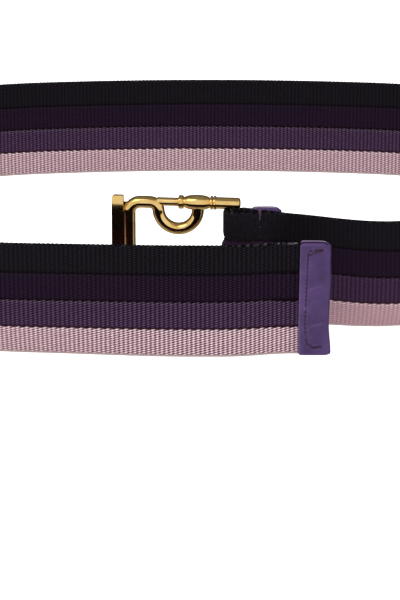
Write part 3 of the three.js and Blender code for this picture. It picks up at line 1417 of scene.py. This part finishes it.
    def _paint_highlight_and_paling(self, piece: Piece) -> None:
        """Records where the leather is painted paler: painted highlights on its creases' lips and on the
        puckers beside its seam, and paler round its outline and towards its mouth.

        Args:
            piece: The cover, in its own frame.
        """
        spots = self._mirrored(self._spots(piece))
        across, up = spots.T
        side = np.minimum(np.minimum(up, self.height - up), across)
        palest_until, plain_from = self.mouth_paling_span
        highlight_and_paling = self.pucker_highlight.at(nearness(spots, self.seam)) * self._ripple(up) + self.outline_paling.at(side)
        highlight_and_paling += self.mouth_paling * np.clip((plain_from - across) / (plain_from - palest_until), 0, 1)
        # Painted highlight along each crease's lip.
        for crease in self.creases:
            highlight_and_paling += crease.highlight_and_paling * crease.depth * crease.strength(spots, crease.width)
        layer = piece.data.attributes.new("highlight_and_paling", "FLOAT", "POINT")
        layer.data.foreach_set("value", np.clip(highlight_and_paling, 0, 1).astype(np.float32))

    def _cut_edges(self, piece: Piece) -> list[int]:
        """Says which faces are on the leather's upper cut edge or the one at its mouth.

        Args:
            piece: The cover, in its own frame.

        Returns:
            A 1 for each face that is, and a 0 for the others.
        """
        found = []
        for face in piece.data.polygons:
            middle, normal = face.center / MM, face.normal
            top = normal.z > self.facing and middle.y > 0 and middle.x < self.flat
            found.append(int(top or normal.x < -self.facing and middle.x < self.corner))
        return found


@dataclass
class Stitcher:
    """Lays copies of one stitch, and joins them into one piece."""

    name: str
    thread: Thread
    radius: float = 0.25
    sunk: float = 0.3
    wobble: float = 0.1
    uneven: Pair = (0.85, 1.15)
    pattern: Piece = field(init=False)
    copies: list[Piece] = field(default_factory=list)

    def __post_init__(self) -> None:
        """Models the stitch: a rounded bead, drawn in at its ends, of half length 1."""
        self.pattern = added(bpy.ops.mesh.primitive_uv_sphere_add, segments=10, ring_count=8, radius=1.0)
        with editing(self.pattern):
            bpy.ops.transform.rotate(value=math.pi / 2, orient_axis="Y", center_override=(0, 0, 0))
            bpy.ops.transform.resize(value=(1.0, self.radius, self.radius))
        pick_only(self.pattern)
        bpy.ops.object.shade_smooth()

    def lay(self, place: Vector, along: Vector, out: Vector, reach: float, thick: float = 1.0) -> None:
        """Lays one copy of the stitch, partly sunk in what it lies on.

        Args:
            place: Its middle, on the surface.
            along: The thread's direction.
            out: The direction that the surface faces.
            reach: Half the stitch's length.
            thick: How thick it is, as a share of the others.
        """
        along = (along - out * along.dot(out)).normalized()
        sway = out.cross(along) * random.uniform(-self.wobble, self.wobble)
        turn = Matrix((along, out.cross(along), out)).transposed().to_4x4()
        shift = Matrix.Translation((place + sway + out * self.radius * self.sunk) * MM)
        copy = self.pattern.copy()
        copy.data = self.pattern.data.copy()
        link(copy)
        reach *= random.uniform(*self.uneven)
        copy.data.transform(shift @ turn @ Matrix.Diagonal((reach * MM, thick * MM, thick * MM, 1.0)))
        self.copies.append(copy)

    def finish(self, place: Matrix) -> None:
        """Joins the copies, moves them to their cover's place and gives them the thread's finish.

        Args:
            place: Where the cover is on the belt.
        """
        bpy.data.objects.remove(self.pattern)
        pick_only(*self.copies)
        bpy.ops.object.join()
        piece = bpy.context.object
        piece.name = piece.data.name = self.name
        settle(piece, place)
        dress(piece, self.thread.make(), "purple_leather", "belt")


@dataclass
class TipSeam:
    """The tip's row of stitches, sewn over twice at both of its ends, on the two faces."""

    cover: Cover
    pitch: float = 1.45
    reach: float = 0.551
    tack_pitch: float = 1.05
    tack_reach: float = 0.66
    tack_thick: float = 1.15
    tacks: tuple[Path, ...] = (
        ((8.3, 38.0), (5.6, 37.9), (3.5, 37.55)),
        ((8.1, 37.6), (5.6, 36.9), (3.1, 35.8)),
        ((8.3, 3.35), (6.2, 3.1), (4.2, 3.0)),
        ((8.2, 2.95), (6.6, 2.75), (5.2, 2.5)),
    )

    def build(self) -> None:
        """Sews the tip."""
        thread = Thread("dark_thread", colour=linear(62, 28, 58), dark=linear(30, 11, 30),
                        glint=linear(140, 110, 146))
        stitcher = Stitcher("tip_stitches", thread)
        rows = [(self.cover.seam, self.pitch, self.reach, 1.0)]
        rows += [(tack, self.tack_pitch, self.tack_reach, self.tack_thick) for tack in self.tacks]
        for rear in (False, True):
            for path, pitch, reach, thick in rows:
                for spot, direction in spaced(path, pitch):
                    place, out = self.cover.ground(spot, rear)
                    stitcher.lay(place, Vector((direction.x, 0, direction.y)), out, reach, thick)
        stitcher.finish(self.cover.place)


@dataclass
class FoldSeam:
    """The upright row through the fold: sunk stitches in front, and a thick tack over the top edge.

    The tack's strands lie this far aside of the seam. Each has beads at shares of its way down the front
    and of its way over the edge.
    """

    cover: Cover
    front: float
    pitch: float = 3.1
    front_reach: float = 0.32
    front_thick: float = 0.85
    rear_reach: float = 1.302
    tack: float = 4.2
    strands: tuple[float, ...] = (-0.3, 0.0, 0.26)
    down: tuple[float, ...] = (0.12, 0.4, 0.7)
    over: tuple[float, ...] = (0.14, 0.46, 0.78)
    bead: float = 0.22
    lean: float = 0.3
    sunk: float = 0.1
    thickest: float = 1.3

    def build(self) -> None:
        """Sews the fold."""
        thread = Thread("purple_thread", colour=linear(92, 62, 90), dark=linear(60, 34, 58),
                        glint=linear(130, 116, 128))
        stitcher = Stitcher("fold_stitches", thread, radius=0.18)
        cover, front = self.cover, self.front
        upright, ahead, back = Vector((0, 0, 1)), Vector((0, -1, 0)), Vector((0, 1, 0))
        low, high = cover.seam
        for spot, _ in spaced((high, low), self.pitch):
            at = Vector((spot.x, front, spot.y))
            stitcher.lay(at, upright, ahead, self.front_reach, self.front_thick)
            place, out = cover.ground(spot, True)
            stitcher.lay(place, upright, out, self.rear_reach)
        across = cover.middle + cover.thickness / 2 - cover.pinch - front
        for aside in self.strands:
            reach = high[0] + aside
            for share in self.down:
                at = Vector((reach - aside * share, front + self.sunk * share,
                             cover.height - self.tack * share))
                along = Vector((aside * self.lean, 0, 1))
                stitcher.lay(at, along, ahead, self.tack * self.bead, self.thickest - share)
            for share in self.over:
                at = Vector((reach, front + across * share, cover.height - self.bead))
                stitcher.lay(at, back, upright, across * self.bead)
        stitcher.finish(cover.place)


def tip_cover(route: Route) -> Cover:
    """The cover on the tail's cut end, with a row of stitches that turns in at both ends.

    Args:
        route: The webbing's route.

    Returns:
        The cover, not yet built.
    """
    end = route.end
    along = Vector((math.cos(end.heading), math.sin(end.heading), 0))
    mouth = end.point - along * route.tip_overlap
    return Cover(
        "tip_cover", "tip_leather", mouth, math.degrees(end.heading), length=11.2,
        seam=((8.2, 37.9), (5.5, 37.8), (3.5, 37.45), (2.95, 36.5), (2.66, 24.8), (2.35, 11.9),
              (2.6, 6.2), (3.1, 4.3), (4.1, 3.1), (5.2, 2.8), (8.2, 3.1)),
        creases=(Crease(((3.0, 22.6), (4.0, 23.9), (5.4, 24.5), (8.6, 25.0))),
                 Crease(((2.9, 18.3), (5.4, 19.4), (9.0, 19.5)), depth=0.07),
                 Crease(((3.3, 9.6), (4.6, 10.7), (6.6, 11.1), (9.6, 11.9)), depth=0.11)),
        waist=((0, 0.05), (3, 0.22), (6.3, 0.55), (9, 0.75), (11, 0.82), (13, 0.84), (16, 0.8),
               (19, 0.68), (22.5, 0.52), (30, 0.42), (40, 0.34)),
        grid=0.2,
    )


def fold_cover(route: Route) -> Cover:
    """The cover on the folded-back end, with the upright row that closes the fold.

    Args:
        route: The webbing's route.

    Returns:
        The cover, not yet built.
    """
    heading = math.radians(route.fold_heading)
    along = Vector((math.cos(heading), math.sin(heading), 0))
    mouth = (route.bar + along * route.fold_mouth + Vector((-along.y, along.x, 0)) * route.flap_offset
             + Vector((0, 0, route.lift_height)))
    return Cover(
        "fold_cover", "fold_leather", mouth, route.fold_heading, length=10.2,
        seam=((2.4, 1.0), (2.4, 39.4)),
        creases=(Crease(((4.0, 30.0), (5.6, 31.4), (8.2, 32.0))),
                 Crease(((3.5, 12.0), (6.8, 13.0)), depth=0.07)),
        height=40.65, slant=0.0, pinch=0.95, fold_dip=Stripe(1.2, 0.0, 1.2),
    )


# The buckle


@dataclass
class Buckle:
    """A gold buckle, soldered into one: bar, bent rod with a hanging loop, turned top arm and plate.

    It lies in its own upright plane, with the bar's axis at 0 and the rest of it to the left.
    """

    bar_place: Vector
    rest_turn: float = -6.0
    bar: float = 2.0
    rod: float = 2.15
    reach: float = 36.8
    corner: float = 3.9
    left_rod_top: float = 46.8
    top_arm_z: float = 47.15
    loop_z: float = 44.4
    loop_reach: float = 19.7
    loop_radius: float = 6.9
    shoulder: float = 3.0
    plate: tuple[float, float, float, float] = (38.8, 43.0, 0.4, 49.1)
    plate_thickness: float = 1.6
    plate_corner: float = 1.2
    plate_bow: float = 0.6
    plate_steps: int = 16
    lugs: tuple[float, ...] = (3.4, 45.4)
    lug_size: tuple[float, float, float] = (2.0, 1.0, 2.4)
    lug_inset: float = 0.2
    sides: int = 40
    corner_steps: int = 10
    shoulder_steps: int = 8
    loop_steps: int = 24
    arm_softening: float = 0.12
    plate_softening: float = 0.18
    smooth_under: float = 28.0
    arm_outline: Path = (
        (27, 1.5), (19.7, 1.5), (19.4, 2.4), (17.9, 2.4), (17.6, 1.8), (16.9, 2.14), (15.9, 2.45),
        (14.6, 2.64), (13, 2.7), (11.4, 2.64), (10.1, 2.45), (9.2, 2.14), (8.5, 1.75), (8.3, 2.45),
        (7.6, 2.45), (7.4, 1.75), (7.2, 2.45), (6.5, 2.45), (6.3, 2.1), (-1.2, 2.1), (-1.7, 1.9),
        (-2.0, 1.5), (-2.1, 0.9),
    )

    def build(self) -> None:
        """Makes the buckle's parts and joins them into one solid."""
        piece = self._bent_rod()
        for part in (self._bar(), self._top_arm(), self._plate(), *map(self._lug, self.lugs)):
            apply_modifier(piece, "BOOLEAN", operation="UNION", object=part, solver="EXACT")
            bpy.data.objects.remove(part)
        piece.name = piece.data.name = "gold_buckle"
        smooth_by_angle(piece, self.smooth_under)
        apply_modifier(piece, "WEIGHTED_NORMAL", keep_sharp=True)
        settle(piece, place_matrix(self.bar_place, self.rest_turn))
        dress(piece, Gold("gold_plating").make(), "gold_metal", "buckle", "buckle_frame")

    def _bent_rod(self) -> Piece:
        """The rod, drawn from a circle by extruding the straight runs and spinning the bends.

        Returns:
            The rod, closed at both ends.
        """
        corner, rod = self.corner, self.rod
        centres = self.shoulder + self.loop_radius
        shoulder_z = self.left_rod_top - self.shoulder
        meeting = math.asin((self.loop_z - shoulder_z) / centres)
        shoulder_reach = self.loop_reach + centres * math.cos(meeting)
        turn = math.pi / 2 - meeting
        corner_x = -(self.reach - corner)
        top = self.top_arm_z - NEAR
        loop_end = -(self.loop_reach - self.loop_radius + 2 * rod)
        piece = added(bpy.ops.mesh.primitive_circle_add, vertices=self.sides, radius=rod * MM,
                      location=Vector((rod, 0, rod)) * MM, rotation=(0, math.pi / 2, 0))
        with editing(piece):
            self._straight((corner_x - rod, 0, 0))
            self._bend((corner_x, rod + corner), math.pi / 2, self.corner_steps)
            self._straight((0, 0, self.left_rod_top - rod - 2 * corner))
            self._bend((corner_x, self.left_rod_top - corner), math.pi / 2, self.corner_steps)
            self._straight((-corner_x - shoulder_reach, 0, 0))
            self._bend((-shoulder_reach, shoulder_z), turn, self.shoulder_steps)
            self._bend((-self.loop_reach, self.loop_z), -(math.pi / 2 + turn), self.loop_steps)
            self._straight((0, 0, self.top_arm_z - self.loop_z))
            select_edges(piece, lambda a, b: min(a.x, b.x) > (rod - NEAR) * MM)
            bpy.ops.mesh.edge_face_add()
            select_edges(piece, lambda a, b: min(a.z, b.z) > top * MM and min(a.x, b.x) > loop_end * MM)
            bpy.ops.mesh.edge_face_add()
        face_outwards(piece)
        return piece

    @staticmethod
    def _straight(run: Sequence[float]) -> None:
        """Extrudes the rod's open end along a straight run."""
        bpy.ops.mesh.extrude_region_move(TRANSFORM_OT_translate={"value": Vector(run) * MM})

    @staticmethod
    def _bend(centre: Pair, turn: float, steps: int) -> None:
        """Spins the rod's open end about a centre in the buckle's own plane, clockwise from the front."""
        bpy.ops.mesh.spin(steps=steps, angle=-turn, center=Vector((centre[0], 0, centre[1])) * MM,
                          axis=(0, 1, 0))

    def _bar(self) -> Piece:
        """The bar that the webbing folds round."""
        return added(bpy.ops.mesh.primitive_cylinder_add, vertices=self.sides, radius=self.bar * MM,
                     depth=(self.top_arm_z - self.rod) * MM,
                     location=(0, 0, (self.top_arm_z + self.rod) / 2 * MM))

    def _top_arm(self) -> Piece:
        """The turned arm, spun from its outline.

        Returns:
            The arm.
        """
        piece = added(bpy.ops.mesh.primitive_plane_add, size=1.0)
        outline = [(self.arm_outline[0][0], 0.0), *self.arm_outline, (self.arm_outline[-1][0], 0.0)]
        places = [Vector((-reach, 0, radius)) * MM for reach, radius in outline]
        with editing(piece):
            bpy.ops.mesh.select_mode(type="VERT")
            bpy.ops.mesh.merge(type="CENTER")
            bpy.ops.transform.translate(value=places[0])
            for here, there in zip(places, places[1:]):
                bpy.ops.mesh.extrude_region_move(TRANSFORM_OT_translate={"value": there - here})
            bpy.ops.mesh.select_all(action="SELECT")
            bpy.ops.mesh.spin(steps=self.sides, angle=2 * math.pi, center=(0, 0, 0), axis=(1, 0, 0))
            bpy.ops.mesh.select_all(action="SELECT")
            bpy.ops.transform.translate(value=(0, 0, self.top_arm_z * MM))
        face_outwards(piece)
        soften(piece, self.arm_softening, segments=2, degrees=30)
        return piece

    def _lug(self, height: float) -> Piece:
        """A short block at this height, which joins the plate to the rod."""
        place = Vector((self.lug_inset - self.plate[0], self.lug_inset, height))
        return added(bpy.ops.mesh.primitive_cube_add, Vector(self.lug_size) * MM, size=1.0,
                     location=place * MM)

    def _plate(self) -> Piece:
        """The plate outside the left rod, slightly bowed, with rounded corners and softened edges.

        Returns:
            The plate.
        """
        near, far, bottom, top = self.plate
        height, outer = top - bottom, NEAR - far
        size = Vector((far - near, self.plate_thickness, height)) * MM
        middle = Vector((-(near + far) / 2, 0, (top + bottom) / 2)) * MM
        piece = added(bpy.ops.mesh.primitive_cube_add, size, size=1.0, location=middle)
        with editing(piece):
            select_edges(piece, lambda a, b: max(a.x, b.x) < outer * MM and abs(a.y - b.y) > NEAR * MM)
            bpy.ops.mesh.bevel(offset=self.plate_corner * MM, segments=8, affect="EDGES")
            select_edges(piece, lambda a, b: abs(a.z - b.z) > height / 2 * MM)
            bpy.ops.mesh.subdivide(number_cuts=self.plate_steps - 1)
        soften(piece, self.plate_softening, segments=3, degrees=40)
        for corner in piece.data.vertices:
            reach = (corner.co.z / MM - bottom) / height * 2 - 1
            corner.co.y -= self.plate_bow * MM * (1 - reach * reach)
        face_outwards(piece)
        return piece


# The studio


@dataclass
class Lamp:
    """A soft square lamp, aimed at the belt's front. Its place and size are in metres."""

    name: str
    at: tuple[float, float, float]
    size: float
    watts: float
    mirrored: bool = True

    def build(self, target: Vector) -> None:
        """Adds the lamp.

        Args:
            target: What it is aimed at, in metres.
        """
        light = bpy.data.lights.new(self.name, "AREA")
        light.energy = self.watts
        light.size = self.size
        lamp = bpy.data.objects.new(self.name, light)
        lamp.visible_glossy = self.mirrored
        lamp.location = self.at
        lamp.rotation_euler = (target - Vector(self.at)).to_track_quat("-Z", "Y").to_euler()
        link(lamp)


@dataclass
class Studio:
    """Floor, daylight, lamps and the camera at the photograph's angle.

    The sky's pairs are parts of its direction, towards the back or upwards, where it begins to change
    and where it has changed.
    """

    elevation: float = 18.5
    distance: float = 900.0
    focal: float = 2640.0
    picture_height: float = 600.0
    sensor: float = 36.0
    target: tuple[float, float, float] = (-0.19, -118.0, 20.0)
    above_target: float = 0.545
    view_end: float = 50.0
    floor_size: float = 30.0
    overhead: float = 0.25
    ahead: float = 0.94
    behind: float = 0.1
    below: float = 0.03
    underneath: float = 0.48
    to_front: Pair = (0.35, -0.35)
    to_overhead: Pair = (0.68, 0.95)
    to_floor: Pair = (-0.3, -0.65)
    to_underneath: Pair = (-0.48, -0.12)
    lamps: tuple[Lamp, ...] = (
        Lamp("key_lamp", (-0.9, -1.1, 1.5), size=1.0, watts=6.5),
        Lamp("top_lamp", (0.3, 0.3, 1.7), size=1.2, watts=26.0, mirrored=False),
    )

    def build(self) -> None:
        """Adds everything that isn't the belt."""
        scene = bpy.context.scene
        scene.view_settings.view_transform = "Standard"
        self._camera()
        self._floor()
        scene.world = self._daylight()
        for lamp in self.lamps:
            lamp.build(Vector(self.target) * MM)

    def _daylight(self) -> bpy.types.World:
        """A soft sky, bright before the belt, dim overhead and behind it, and darkest below its front.

        Returns:
            The sky.
        """
        n = Nodes(bpy.data.worlds.new("daylight"))
        _, depth, height = n.split(n.add("ShaderNodeTexCoord").outputs["Generated"])
        level = depth.eased(*self.to_front).blend(self.behind, self.ahead)
        sky = height.eased(*self.to_overhead).blend(level, self.overhead)
        floor = depth.eased(*self.to_underneath).blend(self.below, self.underneath)
        strength = height.eased(*self.to_floor).blend(sky, floor)
        return n.shade({"Color": (1.0, 1.0, 1.0, 1.0), "Strength": strength})

    def _camera(self) -> None:
        """Adds the camera. Its aim passes a little above the target, as in the photograph."""
        tilt = math.radians(self.elevation)
        forward = Vector((0, math.cos(tilt), -math.sin(tilt)))
        up = Vector((0, math.sin(tilt), math.cos(tilt)))
        data = bpy.data.cameras.new("camera")
        data.sensor_width = self.sensor
        data.lens = self.focal * self.sensor / self.picture_height
        data.clip_end = self.view_end
        camera = bpy.data.objects.new("camera", data)
        camera.location = (Vector(self.target) + up * self.above_target - forward * self.distance) * MM
        camera.rotation_euler = (math.pi / 2 - tilt, 0, 0)
        link(camera)
        bpy.context.scene.camera = camera

    def _floor(self) -> None:
        """Adds the pale floor under the belt."""
        floor = added(bpy.ops.mesh.primitive_plane_add, size=self.floor_size)
        floor.name = "floor"
        floor.visible_glossy = False
        floor.data.materials.append(Paper("paper").make())


def main() -> None:
    """Builds the belt's pieces in order and reports each one."""
    logging.basicConfig(level=logging.INFO, format="%(name)s: %(message)s")
    random.seed(SEED)
    Studio().build()
    route = Route()
    log.info("route: %.1f mm of webbing", route.length)
    Webbing(route).build()
    tip, fold = tip_cover(route), fold_cover(route)
    for cover in (tip, fold):
        cover.build()
    TipSeam(tip).build()
    FoldSeam(fold, -route.wrap_radius - route.flap_offset - route.thickness / 2).build()
    Buckle(route.bar).build()


if __name__ == "__main__":
    main()
